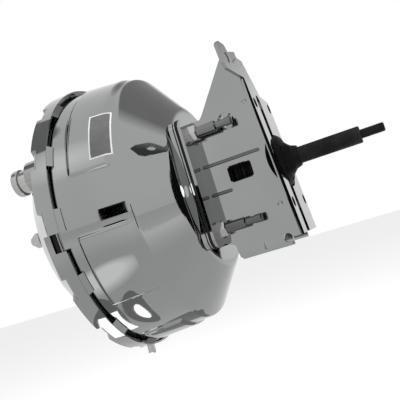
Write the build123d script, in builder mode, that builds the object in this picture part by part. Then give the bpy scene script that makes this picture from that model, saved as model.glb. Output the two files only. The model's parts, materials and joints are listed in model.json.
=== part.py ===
"""Single diaphragm vacuum brake booster with its firewall bracket.

X runs along the booster axis towards the pedal, Z is up, and the origin is the
centre of the face that carries the master cylinder.
"""
from build123d import *
import math
import os

# Shells: overall sizes, and bend radii by the corner of a section
SHEET = 1.8
RIM_RADIUS = 143.4
JOINT_X = 66.0
CREASE_X = 140.0
CREASE_DROP = 12.4
WALL_TAPER = 0.1
SEAT_X = 173.0
SEAT_MARGIN = 14.2
NECK_RADIUS = 29.0
NECK_LENGTH = 27.0
REAR_BENDS = {1: 1.2, 2: 3.0, 3: 4.0, 4: 2.0}

# Front shell
PILOT_RADIUS = 20.5
CUP_DEPTH = 13.0
FACE_RADIUS = 58.0
FACE_SLOPE = 6.0
ANNULUS_X = 20.0
ANNULUS_RADIUS = 96.0
RIM_FRONT_X = 59.0
RIM_STEP = 7.4
RIM_STEP_LENGTH = 5.0
SKIRT_LENGTH = 13.0
LUG_COUNT = 14
LUG_ANGLE = 17.0
LUG_FIRST_ANGLE = 140.6
LUG_LENGTH = 8.5
HOOK_GAP = 0.3
HOOK_RAMP = 4.0
HOOK_EASE = 1.6
NOTCH_ANGLE = 187.0
NOTCH_SWEEP = 7.0
NOTCH_LENGTH = 11.0
FRONT_BENDS = {1: 1.2, 2: 1.2, 3: 3.5, 4: 3.0, 5: 5.0, 6: 2.0, 7: 2.0}

# Embossed pads on the rear shell: start, end and angles from +Y over +Z
PAD_HEIGHT = 2.4
PAD_SLOPE = 2.6
PAD_ROUNDING = 1.0
UPPER_PAD = (93.0, 136.0, 104.0, 164.0)
SIDE_PAD = (83.0, 136.0, 187.0, 219.0)
LOWER_PAD = (79.0, 124.0, 244.0, 296.0)

# Check valve in the front shell
VALVE_RADIUS_AT = 91.0
VALVE_ANGLE = 139.0
VALVE_BOSS_RADIUS = 18.0
VALVE_BOSS_X = 17.0
VALVE_BODY_RADIUS = 12.2
VALVE_LIP_RADIUS = 14.2
VALVE_LIP_LENGTH = 7.5
VALVE_LENGTH = 20.0
VALVE_STEM_RADIUS = 7.4
VALVE_PORT_RADIUS = 5.0
VALVE_LIP_ROUNDING = 1.4
VALVE_STEM_END = 4.0
VALVE_LIFT = 1.5
VALVE_DISC_THICKNESS = 1.2
VALVE_DISC_SEAT = 2.0
VALVE_DISC_ROOM = 2.4
VALVE_DISC_ROOM_DEPTH = 6.0
GROMMET_FLANGE_RADIUS = 14.5
GROMMET_HOLE_RADIUS = 10.5
GROMMET_FLANGE = 3.0
GROMMET_OUTSIDE_STEP = 1.0
GROMMET_INSIDE_STEP = 2.0

# Master cylinder studs, and the size of the nuts
MASTER_STUD_SPACING = 85.7
THREAD_RADIUS = 4.76
MASTER_STUD_LENGTH = 23.0
STUD_HEAD_RADIUS = 7.5
STUD_HEAD_LENGTH = 2.8
NUT_FLATS = 14.3
NUT_HEIGHT = 10.0
NUT_FLANGE_RADIUS = 8.8
NUT_FLANGE_HEIGHT = 2.0
NUT_CHAMFER = 0.7
REINFORCEMENT_INNER = 25.0
REINFORCEMENT_OUTER = 52.0
REINFORCEMENT_THICKNESS = 3.0

# Rear studs and the stack of plates between booster and bracket
STUD_Y = 53.0
STUD_Z = 48.5
STUD_RADIUS = 5.25
STUD_BODY_END_X = 215.0
STUD_TIP_END_X = 224.0
STUD_END_X = 231.0
STUD_TIP_RADIUS = 3.6
STUD_END_RADIUS = 4.1
STUD_SHOULDER = 1.2
HOLE_CLEARANCE = 0.15
BACKING_THICKNESS = 4.0
PAPER_THICKNESS = 1.2
SPACER_THICKNESS = 1.4
GASKET_THICKNESS = 2.4
GASKET_MARGIN = 0.6
PAPER_MARGIN = 1.0
PLATE_HOLE_GAP = 2.5

# Bracket
BRACKET_SHEET = 3.0
PLATE_SIDE_MARGIN = 17.0
PLATE_TOP_MARGIN = 15.5
PLATE_CORNER = 10.0
SIDE_STUD_GAP = 10.5
NECK_HOLE_RADIUS = 34.0
FIREWALL_X = 257.4
FIREWALL_TILT = 3.5
BRACKET_BOTTOM_Z = -82.0
FOOT_END_X = 251.0
FOOT_STEP = 3.0
FLANGE_BOTTOM_Z = -75.0
BRACKET_TOP_Z = 112.0
TOP_FRONT_X = 237.5
SHOULDER_LENGTH = 15.5
FAR_TOP_Z = 68.0
FAR_CORNER = 6.0
HUMP_FOOT_Y = 6.0
HUMP_TOP_Y = -20.0
HUMP_TOP_Z = 106.0
EAR_INNER_Y = -66.0
EAR_OUTER_Y = -104.0
EAR_BOTTOM_Z = 85.0
EAR_CORNER = 5.0
EAR_NOTCH = 17.0
BEND_RADIUS = 4.0
WINDOW = (221.5, 23.0, 15.2)
WINDOW_CORNER = 2.5
WINDOW_CHAMFER = 0.7
BEND_SLOT = (249.5, 254.5, 18.0)
BEND_SLOT_LEAN = 1.5
SLOT_Y = -12.0
SLOT_WIDTH = 14.0
SLOT_FLAT = 1.0
SLOT_TOP_Z = 70.0
BOOT_HOLE_RADIUS = 28.0
EAR_HOLE = (-82.0, 98.0, 5.2)
FIREWALL_BOLT_GAP = 8.5
FIREWALL_BOLT_TOP_Z = 60.0
FIREWALL_BOLT_BOTTOM_Z = -43.0
FIREWALL_BOLT_RADIUS = 5.3
LIP_WIDTH = 5.0
LIP_START_X = 200.0
LIP_END_X = 250.0
GUSSET_X = 219.5
CORNER_HOLE = (246.5, -74.5, 4.3)
DOME = (222.6, 51.0, 8.4, 3.6)
DIMPLES = ((245.5, 62.5, 2.6, 0.9), (249.0, -41.0, 2.6, 0.9))
RIB_HEIGHT = 0.9
RIB_WIDTH = 2.4
UPPER_RIB_LENGTH = 61.0
LOWER_RIB_LENGTH = 24.0
GUSSET_HEIGHT = 11.0
GUSSET_THICKNESS = 3.0
RIB_Z = 14.5

# Dust boot
BOOT_RADIUS = 32.0
BOOT_FOLD_RADIUS = 26.5
BOOT_WALL = 1.6
BOOT_START_X = 189.0
BOOT_FOLD_START_X = 205.0
BOOT_LEAD = 4.0
BOOT_FOLDS = 5
BOOT_FOLD_PITCH = 8.0
BOOT_FOLD_ROUNDING = 0.8
BOOT_FLANGE_RADIUS = 27.0
BOOT_NECK_LENGTH = 6.0
BOOT_FLANGE_LENGTH = 6.0
BOOT_CONE_STEPS = ((3.0, 2.5), (6.0, 9.5), (11.0, 14.5))
BOOT_LIP_X = 274.0
BOOT_LIP_LENGTH = 3.0
BOOT_VENTS = 6
BOOT_VENT_LENGTH = 7.0
BOOT_VENT_WIDTH = 3.6
BOOT_VENT_INSET = 6.5
BOOT_VENT_START = 4.0
BOOT_VENT_DEPTH = 14.0
BOOT_VENT_ANGLE = 30.0

# Square peg under the shell joint
PEG_SIZE = 6.5
PEG_LENGTH = 9.0
PEG_ANGLE = 264.0
PEG_ROUNDING = 1.0

# Seals
SEAL_FLANGE_RADIUS = 17.0
SEAL_LENGTH = 4.0
REAR_SEAL_LENGTH = 15.0

# Piston, springs and rods
TUBE_RADIUS = 21.0
TUBE_BORE_RADIUS = 15.5
TUBE_END_X = 236.0
HUB_FRONT_X = 90.0
HUB_RADIUS = 38.0
HUB_EDGE = 2.0
PLATE_X = 104.2
PLATE_THICKNESS = 2.0
PLATE_WALL_GAP = 13.5
PLATE_TUBE_GAP = 0.2
PLATE_DISH = (2.5, 4.5)
PLATE_SKIRT_LENGTH = 9.5
PLATE_BENDS = {1: 1.5, 2: 1.5}
DIAPHRAGM_THICKNESS = 1.6
BEAD_LENGTH = 4.5
BEAD_DEPTH = 3.0
WEB_TURN = (1.0, 2.0)
WEB_WALL_GAP = 2.2
WEB_END = 5.0
FOLD_STEP = 1.0
FOLD_WALL_GAP = 6.0
FOLD_PLATE_GAP = 4.0
FLAT_OVERLAP = 2.0
FLAT_TUBE_GAP = 1.5
WEB_BENDS = {2: 2.0, 3: 1.0}
PUSHROD_RADIUS = 4.75
PUSHROD_HEAD_RADIUS = 12.95
PUSHROD_TIP_X = -8.0
PUSHROD_HEAD_X = 90.5
DISC_X = 96.0
DISC_END_X = 101.0
POCKET_RADIUS = 13.1
RUNNING_FIT = 0.05
BODY_GAP = 0.3
EDGE = 0.8
SEAT_RING_INNER = 11.0
SEAT_RING_OUTER = 12.5
SEAT_RING_LENGTH = 3.8
PLUNGER_RADIUS = 6.1
PLUNGER_NOSE_X = 102.5
PLUNGER_REAR_X = 134.0
CHAMBER_X = 130.0
KEY_X = 116.0
KEY_THICKNESS = 2.4
KEY_SLOT_HEIGHT = 12.6
KEY_FIT = 0.1
KEY_END_WALL = 2.0
KEY_END_GAP = 1.0
PLUNGER_NECK_RADIUS = 3.8
PLUNGER_NECK = (112.0, 121.0)
PLUNGER_FLANGE_RADIUS = 9.0
PLUNGER_FLANGE_LENGTH = 2.0
SOCKET_DEPTH = 8.5
SOCKET_FIT = 0.1
ADJUSTER_LENGTH = 4.0
ADJUSTER_FLATS = 8.0
ADJUSTER_NOSE_RADIUS = 3.0
POPPET_END_X = 154.0
POPPET_LIP = 2.0
POPPET_BEAD = 4.0
POPPET_GAP = 0.5
POPPET_RETAINER_GAP = 0.9
POPPET_RETAINER_LENGTH = 2.0
POPPET_SPRING = (9.6, 0.6, 5)
BALL_RADIUS = 4.4
BALL_X = 130.0
ROD_RADIUS = 5.5
ROD_NECK_RADIUS = 2.8
ROD_NECK_END_X = 141.0
SLEEVE_RADIUS = 8.5
SLEEVE_START_X = 240.0
SLEEVE_END_X = 337.0
THREAD_END_X = 360.3
SPRING_MEAN_RADIUS = 29.5
SPRING_WIRE_RADIUS = 1.9
SPRING_TURNS = 7
SPRING_SEAT_X = 188.0
SPRING_SEAT_RADIUS = 12.0
SPRING_SEAT_THICKNESS = 2.0
ROD_SPRING = (10.4, 0.8, 6)
FILTER_X = 212.0
FILTER_INNER = 11.0
RETAINER_LENGTH = 1.8

# A cut starts this far outside the metal, and a face is found within this distance
CUT_MARGIN = 1.0
NEAR = 0.1

# Places worked out from the sizes above
CREASE_RADIUS = RIM_RADIUS - CREASE_DROP
SEAT_RADIUS = math.hypot(STUD_Y, STUD_Z) + SEAT_MARGIN
PLATE_HALF_WIDTH = STUD_Y + PLATE_SIDE_MARGIN
PLATE_HALF_HEIGHT = STUD_Z + PLATE_TOP_MARGIN
SIDE_Y = STUD_Y - SIDE_STUD_GAP
FIREWALL_BOLT_Y = SIDE_Y - BRACKET_SHEET - FIREWALL_BOLT_GAP
PLATE_RADIUS = CREASE_RADIUS - PLATE_WALL_GAP
REINFORCEMENT_X = SHEET
MASTER_HEAD_X = REINFORCEMENT_X + REINFORCEMENT_THICKNESS
BACKING_X = SEAT_X
PAPER_X = BACKING_X + BACKING_THICKNESS
SPACER_X = PAPER_X + PAPER_THICKNESS
GASKET_X = SPACER_X + SPACER_THICKNESS
BRACKET_X = GASKET_X + GASKET_THICKNESS
BRACKET_REAR_X = BRACKET_X + BRACKET_SHEET
NECK_END_X = SEAT_X + NECK_LENGTH
SKIRT_END_X = RIM_FRONT_X + SKIRT_LENGTH
RIM_INNER = RIM_RADIUS - SHEET
FLANGE_RADIUS = RIM_INNER - BODY_GAP
VALVE_Y = VALVE_RADIUS_AT * math.cos(math.radians(VALVE_ANGLE))
VALVE_Z = VALVE_RADIUS_AT * math.sin(math.radians(VALVE_ANGLE))
GROMMET_X = VALVE_BOSS_X - GROMMET_FLANGE
GROMMET_END_X = VALVE_BOSS_X + SHEET + GROMMET_FLANGE
VALVE_START_X = VALVE_BOSS_X - VALVE_LENGTH
VALVE_END_X = GROMMET_END_X + VALVE_STEM_END
DISC_ROOM_X = GROMMET_X - VALVE_DISC_ROOM_DEPTH
DISC_ROOM_END_X = DISC_ROOM_X + VALVE_DISC_THICKNESS + VALVE_LIFT + 2 * BODY_GAP
PLATE_HOLE = NECK_RADIUS + PLATE_HOLE_GAP
BOOT_FLANGE_X = BOOT_FOLD_START_X + BOOT_FOLDS * BOOT_FOLD_PITCH + BOOT_NECK_LENGTH
BOOT_CONE_X = BOOT_FLANGE_X + BOOT_FLANGE_LENGTH
POPPET_X = PLUNGER_REAR_X + BODY_GAP
KEY_MOUTH_RADIUS = PLUNGER_NECK_RADIUS + BODY_GAP
TILT = math.radians(FIREWALL_TILT)
FIREWALL = Plane(
    origin=(FIREWALL_X, 0, 0),
    x_dir=(0, 1, 0),
    z_dir=(math.cos(TILT), 0, math.sin(TILT)),
)

FROM_BASE = (Align.CENTER, Align.CENTER, Align.MIN)

os.makedirs("parts", exist_ok=True)


def save(builder, name):
    """Labels a finished piece and writes its STEP file."""
    builder.part.label = name
    export_step(builder.part, f"parts/{name}.step")


def across(x):
    """Plane square to the axis at x, with Y and Z as its own directions."""
    return Plane(origin=(x, 0, 0), x_dir=(0, 1, 0), z_dir=(1, 0, 0))


def wall_radius(x):
    """Outer radius of the rear shell's side wall."""
    return CREASE_RADIUS + (CREASE_X - x) * WALL_TAPER


def offset_path(path, gap):
    """Points of a path moved to its left by gap, with mitred corners."""
    points = [Vector(x, r) for x, r in path]
    steps = [after - before for before, after in zip(points, points[1:])]
    normals = [Vector(-step.Y, step.X).normalized() for step in steps]
    moved = []
    for index, point in enumerate(points):
        first = normals[max(index - 1, 0)]
        second = normals[min(index, len(normals) - 1)]
        middle = (first + second).normalized()
        moved.append(point + middle * (gap / middle.dot(first)))
    return [(point.X, point.Y) for point in moved]


def turns_left(path, index):
    """True where a path bends to its left."""
    (x0, r0), (x1, r1), (x2, r2) = path[index - 1:index + 2]
    return (x1 - x0) * (r2 - r1) - (r1 - r0) * (x2 - x1) > 0


def sheet_profile(path, gap, bends):
    """Section of a pressed sheet in XZ: a path, its copy one gap aside, and rounded bends."""
    aside = offset_path(path, gap)
    with BuildSketch(Plane.XZ) as section:
        with BuildLine():
            Polyline(*path, *reversed(aside), close=True)
        make_face()
        for index, radius in bends.items():
            wide = radius + abs(gap)
            on_path = wide if turns_left(path, index) == (gap > 0) else radius
            beside = radius if turns_left(path, index) == (gap > 0) else wide
            fillet(section.vertices().sort_by_distance(Vector(*path[index], 0))[0], on_path)
            fillet(section.vertices().sort_by_distance(Vector(*aside[index], 0))[0], beside)
    return section.sketch


def outline(*points):
    """Closed polygon in XZ, given as points of x and radius."""
    with BuildSketch(Plane.XZ) as section:
        with BuildLine():
            Polyline(*points, close=True)
        make_face()
    return section.sketch


def ring(start_x, end_x, inner, outer):
    """Rectangular section in XZ of a ring round the axis."""
    return outline((start_x, inner), (end_x, inner), (end_x, outer), (start_x, outer))


def sector(section, start_angle, sweep):
    """Part of a turned ring with a given section, from an angle measured from +Y over +Z."""
    with BuildPart() as piece:
        revolve(section, axis=Axis.X, revolution_arc=sweep)
    return piece.part.rotate(Axis.X, start_angle - 90)


def lug_angles():
    """Middle angles of the lock lugs round the rim."""
    return [LUG_FIRST_ANGLE + number * 360 / LUG_COUNT for number in range(LUG_COUNT)]


def stud_places():
    """Y and Z of the four rear studs."""
    return [(y, z) for y in (-STUD_Y, STUD_Y) for z in (-STUD_Z, STUD_Z)]


def firewall_places():
    """Places of the four firewall bolts in the firewall plane."""
    heights = (FIREWALL_BOLT_TOP_Z, FIREWALL_BOLT_BOTTOM_Z)
    return [(y, z) for y in (-FIREWALL_BOLT_Y, FIREWALL_BOLT_Y) for z in heights]


# Rear shell
rear_path = [
    (JOINT_X + SHEET, FLANGE_RADIUS),
    (JOINT_X + SHEET, wall_radius(JOINT_X + SHEET)),
    (CREASE_X, CREASE_RADIUS),
    (SEAT_X, SEAT_RADIUS),
    (SEAT_X, NECK_RADIUS),
    (NECK_END_X, NECK_RADIUS),
]


def mirrored(pad):
    """The same pad on the far side of the shell."""
    start_x, end_x, start_angle, end_angle = pad
    return (start_x, end_x, 180 - end_angle, 180 - start_angle)


def pad_path(pad):
    """Outer surface of the wall along a pad, from plain wall to plain wall."""
    start_x, end_x = pad[:2]
    raised = (start_x + PAD_SLOPE, end_x - PAD_SLOPE)
    return [
        (start_x - PAD_SLOPE, wall_radius(start_x - PAD_SLOPE)),
        (start_x, wall_radius(start_x)),
        (raised[0], wall_radius(raised[0]) + PAD_HEIGHT),
        (raised[1], wall_radius(raised[1]) + PAD_HEIGHT),
        (end_x, wall_radius(end_x)),
        (end_x + PAD_SLOPE, wall_radius(end_x + PAD_SLOPE)),
    ]


def pad_shape(pad, inset):
    """Solid under a pad's surface, with that surface and its sides moved in by inset."""
    surface = offset_path(pad_path(pad), -inset)[1:5]
    root = [(x, r - SHEET / 2) for x, r in (surface[3], surface[0])]
    side = math.degrees(inset / CREASE_RADIUS)
    start_angle, end_angle = pad[2:]
    return sector(outline(*surface, *root), start_angle + side, end_angle - start_angle - 2 * side)


def rounded_pad(pad):
    """Outer pad solid with its raised border softened."""
    with BuildPart() as piece:
        add(pad_shape(pad, 0))
        top = piece.faces().sort_by(lambda face: face.area)[-2:]
        raised = max(top, key=lambda face: math.hypot(face.center().Y, face.center().Z))
        fillet(raised.edges(), PAD_ROUNDING)
    return piece.part


pads = [UPPER_PAD, SIDE_PAD, LOWER_PAD, mirrored(UPPER_PAD), mirrored(SIDE_PAD)]

with BuildPart() as rear_shell:
    revolve(sheet_profile(rear_path, -SHEET, REAR_BENDS), axis=Axis.X)
    for pad in pads:
        add(rounded_pad(pad))
    for pad in pads:
        add(pad_shape(pad, SHEET), mode=Mode.SUBTRACT)
    with BuildSketch(across(SEAT_X)):
        with Locations(*stud_places()):
            Circle(STUD_RADIUS + HOLE_CLEARANCE)
    extrude(amount=-2 * SHEET, mode=Mode.SUBTRACT)
save(rear_shell, "rear_shell")

# Front shell
front_path = [
    (CUP_DEPTH, PUSHROD_RADIUS * 2),
    (CUP_DEPTH, PILOT_RADIUS),
    (0, PILOT_RADIUS),
    (0, FACE_RADIUS),
    (ANNULUS_X, FACE_RADIUS + FACE_SLOPE),
    (ANNULUS_X, ANNULUS_RADIUS),
    (RIM_FRONT_X - RIM_STEP_LENGTH, RIM_RADIUS - RIM_STEP),
    (RIM_FRONT_X, RIM_RADIUS),
    (SKIRT_END_X, RIM_RADIUS),
]
STEP_X = RIM_FRONT_X - RIM_STEP_LENGTH
CONE_SLOPE = (RIM_RADIUS - RIM_STEP - ANNULUS_RADIUS) / (STEP_X - ANNULUS_X)
LUG_BASE = [
    (x, ANNULUS_RADIUS + (x - ANNULUS_X) * CONE_SLOPE - SHEET / 2)
    for x in (RIM_FRONT_X - LUG_LENGTH, STEP_X)
]
LUG = [
    LUG_BASE[0],
    (RIM_FRONT_X - LUG_LENGTH / 2, RIM_RADIUS),
    (RIM_FRONT_X + SHEET, RIM_RADIUS),
    (RIM_FRONT_X + SHEET, RIM_RADIUS - SHEET / 2),
    LUG_BASE[1],
]
HOOK_X = JOINT_X + SHEET + HOOK_GAP
HOOK_END_X = SKIRT_END_X + HOOK_RAMP
HOOK = [
    (HOOK_X + HOOK_EASE, wall_radius(HOOK_X + HOOK_EASE) + HOOK_GAP),
    (HOOK_X, wall_radius(HOOK_X) + HOOK_GAP + HOOK_EASE),
    (HOOK_X, RIM_RADIUS - SHEET / 2),
    (SKIRT_END_X - SHEET, RIM_RADIUS),
    (SKIRT_END_X, RIM_RADIUS - SHEET / 4),
    (HOOK_END_X, wall_radius(HOOK_END_X) + SHEET / 2),
    (HOOK_END_X, wall_radius(HOOK_END_X) + HOOK_GAP),
]
NOTCH = ring(SKIRT_END_X - NOTCH_LENGTH, SKIRT_END_X + SHEET, FLANGE_RADIUS, RIM_RADIUS + SHEET)

front_inside = offset_path(front_path, -SHEET)

with BuildPart() as valve_boss:
    with BuildSketch(across(VALVE_BOSS_X)):
        with Locations((VALVE_Y, VALVE_Z)):
            Circle(VALVE_BOSS_RADIUS)
    extrude(amount=2 * VALVE_BOSS_RADIUS)
    with BuildSketch(across(VALVE_BOSS_X + SHEET)):
        with Locations((VALVE_Y, VALVE_Z)):
            Circle(VALVE_BOSS_RADIUS - SHEET)
    extrude(amount=2 * VALVE_BOSS_RADIUS, mode=Mode.SUBTRACT)
    revolve(
        outline(*front_inside[4:8], (RIM_FRONT_X + SHEET, 0), (front_inside[4][0], 0)),
        axis=Axis.X,
        mode=Mode.SUBTRACT,
    )

with BuildPart() as front_shell:
    revolve(sheet_profile(front_path, -SHEET, FRONT_BENDS), axis=Axis.X)
    for angle in lug_angles():
        add(sector(outline(*LUG), angle - LUG_ANGLE / 2, LUG_ANGLE))
        add(sector(outline(*HOOK), angle + LUG_ANGLE / 2, 360 / LUG_COUNT - LUG_ANGLE))
    add(sector(NOTCH, NOTCH_ANGLE - NOTCH_SWEEP / 2, NOTCH_SWEEP), mode=Mode.SUBTRACT)
    with BuildSketch(across(VALVE_BOSS_X + SHEET)):
        with Locations((VALVE_Y, VALVE_Z)):
            Circle(VALVE_BOSS_RADIUS - SHEET)
    extrude(amount=VALVE_BOSS_RADIUS, mode=Mode.SUBTRACT)
    add(valve_boss.part)
    with BuildSketch(across(VALVE_BOSS_X)):
        with Locations((VALVE_Y, VALVE_Z)):
            Circle(GROMMET_HOLE_RADIUS)
    extrude(amount=2 * SHEET, both=True, mode=Mode.SUBTRACT)
    with BuildSketch(across(0)):
        with Locations((-MASTER_STUD_SPACING / 2, 0), (MASTER_STUD_SPACING / 2, 0)):
            Circle(STUD_RADIUS + HOLE_CLEARANCE)
    extrude(amount=2 * SHEET, mode=Mode.SUBTRACT)
save(front_shell, "front_shell")


# Check valve, its grommet and its disc
def valve_ring(start_x, end_x, radius):
    """Round section of the check valve, between two places along X."""
    with BuildSketch(across(start_x)) as disc:
        with Locations((VALVE_Y, VALVE_Z)):
            Circle(radius)
    return extrude(disc.sketch, amount=end_x - start_x)


with BuildPart() as check_valve_grommet:
    valve_ring(GROMMET_X, VALVE_BOSS_X, GROMMET_FLANGE_RADIUS - GROMMET_OUTSIDE_STEP)
    valve_ring(VALVE_BOSS_X, VALVE_BOSS_X + SHEET, GROMMET_HOLE_RADIUS)
    valve_ring(VALVE_BOSS_X + SHEET, GROMMET_END_X, GROMMET_FLANGE_RADIUS - GROMMET_INSIDE_STEP)
    with BuildSketch(across(GROMMET_X)):
        with Locations((VALVE_Y, VALVE_Z)):
            Circle(VALVE_STEM_RADIUS)
    extrude(amount=GROMMET_END_X - GROMMET_X, mode=Mode.SUBTRACT)
save(check_valve_grommet, "check_valve_grommet")

with BuildPart() as check_valve_body:
    valve_ring(VALVE_START_X, VALVE_START_X + VALVE_LIP_LENGTH, VALVE_LIP_RADIUS)
    fillet(check_valve_body.edges(), VALVE_LIP_ROUNDING)
    valve_ring(VALVE_START_X + VALVE_LIP_LENGTH, GROMMET_X, VALVE_BODY_RADIUS)
    valve_ring(GROMMET_X, VALVE_END_X, VALVE_STEM_RADIUS)
    with BuildSketch(across(VALVE_START_X)):
        with Locations((VALVE_Y, VALVE_Z)):
            Circle(VALVE_PORT_RADIUS)
    extrude(amount=VALVE_END_X - VALVE_START_X, mode=Mode.SUBTRACT)
    with BuildSketch(across(DISC_ROOM_X)):
        with Locations((VALVE_Y, VALVE_Z)):
            Circle(VALVE_PORT_RADIUS + VALVE_DISC_ROOM)
    extrude(amount=DISC_ROOM_END_X - DISC_ROOM_X, mode=Mode.SUBTRACT)
save(check_valve_body, "check_valve_body")

with BuildPart() as check_valve_disc:
    valve_ring(
        DISC_ROOM_END_X - BODY_GAP - VALVE_DISC_THICKNESS,
        DISC_ROOM_END_X - BODY_GAP,
        VALVE_PORT_RADIUS + VALVE_DISC_SEAT,
    )
save(check_valve_disc, "check_valve_disc")

# Master cylinder studs and reinforcement
with BuildPart() as hub_reinforcement:
    with BuildSketch(across(REINFORCEMENT_X)):
        Circle(REINFORCEMENT_OUTER)
        Circle(REINFORCEMENT_INNER, mode=Mode.SUBTRACT)
        with Locations((-MASTER_STUD_SPACING / 2, 0), (MASTER_STUD_SPACING / 2, 0)):
            Circle(STUD_RADIUS + HOLE_CLEARANCE, mode=Mode.SUBTRACT)
    extrude(amount=REINFORCEMENT_THICKNESS)
save(hub_reinforcement, "hub_reinforcement")

with BuildPart() as master_cylinder_studs:
    with Locations((0, -MASTER_STUD_SPACING / 2, 0), (0, MASTER_STUD_SPACING / 2, 0)):
        with Locations((MASTER_HEAD_X, 0, 0)):
            Cylinder(STUD_HEAD_RADIUS, STUD_HEAD_LENGTH, rotation=(0, 90, 0), align=FROM_BASE)
            Cylinder(STUD_RADIUS, MASTER_HEAD_X, rotation=(0, -90, 0), align=FROM_BASE)
        with Locations((0, 0, 0)):
            Cylinder(THREAD_RADIUS, MASTER_STUD_LENGTH, rotation=(0, -90, 0), align=FROM_BASE)
    chamfer(master_cylinder_studs.faces().group_by(Axis.X)[0].edges(), EDGE)
save(master_cylinder_studs, "master_cylinder_studs")

# Rear studs and their nuts
with BuildPart() as rear_studs:
    for start_x, end_x, radius in (
        (SEAT_X - SHEET - STUD_HEAD_LENGTH, SEAT_X - SHEET, STUD_HEAD_RADIUS),
        (SEAT_X - SHEET, STUD_BODY_END_X, STUD_RADIUS),
        (STUD_BODY_END_X, STUD_TIP_END_X, STUD_TIP_RADIUS),
        (STUD_TIP_END_X, STUD_END_X, STUD_END_RADIUS),
    ):
        with BuildSketch(across(start_x)):
            with Locations(*stud_places()):
                Circle(radius)
        extrude(amount=end_x - start_x)
    chamfer(rear_studs.faces().group_by(Axis.X)[-1].edges(), EDGE)
    body_ends = rear_studs.faces().filter_by_position(Axis.X, STUD_BODY_END_X - NEAR, STUD_BODY_END_X + NEAR)
    chamfer(body_ends.edges().filter_by(GeomType.CIRCLE).group_by(SortBy.RADIUS)[-1], STUD_SHOULDER)
save(rear_studs, "rear_studs")

with BuildPart() as rear_nuts:
    with BuildSketch(across(BRACKET_REAR_X)):
        with Locations(*stud_places()):
            Circle(NUT_FLANGE_RADIUS)
    extrude(amount=NUT_FLANGE_HEIGHT)
    with BuildSketch(across(BRACKET_REAR_X + NUT_FLANGE_HEIGHT)):
        with Locations(*stud_places()):
            RegularPolygon(NUT_FLATS / 2, 6, major_radius=False)
    extrude(amount=NUT_HEIGHT - NUT_FLANGE_HEIGHT)
    chamfer(rear_nuts.faces().group_by(Axis.X)[-1].edges(), NUT_CHAMFER)
    with BuildSketch(across(BRACKET_REAR_X)):
        with Locations(*stud_places()):
            Circle(STUD_RADIUS + RUNNING_FIT)
    extrude(amount=NUT_HEIGHT, mode=Mode.SUBTRACT)
save(rear_nuts, "rear_nuts")


# Plates between booster and bracket
def mounting_plate(x, thickness, margin):
    """Flat plate with stud holes and a hole for the neck, larger than the bracket's by a margin."""
    with BuildPart() as plate:
        with BuildSketch(across(x)):
            RectangleRounded(2 * (PLATE_HALF_WIDTH + margin), 2 * (PLATE_HALF_HEIGHT + margin), PLATE_CORNER)
            Circle(PLATE_HOLE, mode=Mode.SUBTRACT)
            with Locations(*stud_places()):
                Circle(STUD_RADIUS + HOLE_CLEARANCE, mode=Mode.SUBTRACT)
        extrude(amount=thickness)
    return plate


backing_plate = mounting_plate(BACKING_X, BACKING_THICKNESS, 0)
save(backing_plate, "backing_plate")
paper_gasket = mounting_plate(PAPER_X, PAPER_THICKNESS, -PAPER_MARGIN)
save(paper_gasket, "paper_gasket")
spacer_plate = mounting_plate(SPACER_X, SPACER_THICKNESS, 0)
save(spacer_plate, "spacer_plate")
bracket_gasket = mounting_plate(GASKET_X, GASKET_THICKNESS, GASKET_MARGIN)
save(bracket_gasket, "bracket_gasket")

# Bracket: front plate, side plates and the flange against the firewall


def firewall_x(z):
    """X of the firewall plane at height z."""
    return FIREWALL_X - z * math.tan(TILT)


def side_outline(points):
    """Side plate profile in XZ: the shared lower part closed by the points above."""
    foot_x = BRACKET_REAR_X + SHOULDER_LENGTH - FOOT_STEP
    lower = [
        (BRACKET_X, PLATE_HALF_HEIGHT - FOOT_STEP),
        (BRACKET_X, -PLATE_HALF_HEIGHT + FOOT_STEP),
        (foot_x - FOOT_STEP, -PLATE_HALF_HEIGHT - FOOT_STEP),
        (foot_x - FOOT_STEP / 2, BRACKET_BOTTOM_Z + FOOT_STEP),
        (foot_x + FOOT_STEP / 2, BRACKET_BOTTOM_Z),
        (FOOT_END_X, BRACKET_BOTTOM_Z),
        (FOOT_END_X, FLANGE_BOTTOM_Z),
        (firewall_x(FLANGE_BOTTOM_Z), FLANGE_BOTTOM_Z),
    ]
    return lower + points


near_points = [
    (firewall_x(BRACKET_TOP_Z), BRACKET_TOP_Z),
    (TOP_FRONT_X + FOOT_STEP, BRACKET_TOP_Z + FOOT_STEP),
    (TOP_FRONT_X, BRACKET_TOP_Z + FOOT_STEP / 2),
    (BRACKET_REAR_X + SHOULDER_LENGTH, PLATE_HALF_HEIGHT),
    (BRACKET_REAR_X + SHOULDER_LENGTH - FOOT_STEP, PLATE_HALF_HEIGHT - FOOT_STEP),
]
far_points = [
    (firewall_x(FAR_TOP_Z - FAR_CORNER), FAR_TOP_Z - FAR_CORNER),
    (firewall_x(FAR_TOP_Z) - FAR_CORNER, FAR_TOP_Z),
    (BRACKET_REAR_X + SHOULDER_LENGTH, FAR_TOP_Z),
    (BRACKET_REAR_X + SHOULDER_LENGTH - FAR_CORNER, PLATE_HALF_HEIGHT - FOOT_STEP),
]


def side_plate(points, outer_y, inner_y):
    """Side plate between two places along Y."""
    with BuildPart() as plate:
        with BuildSketch(Plane.XZ.offset(-inner_y)):
            with BuildLine():
                Polyline(*side_outline(points), close=True)
            make_face()
        extrude(amount=inner_y - outer_y)
    return plate.part


bend_slot_top = (BEND_SLOT[1] - BEND_SLOT_LEAN, BEND_SLOT[2])
bend_slot_foot = (BEND_SLOT[1], -BEND_SLOT[2])

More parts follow.
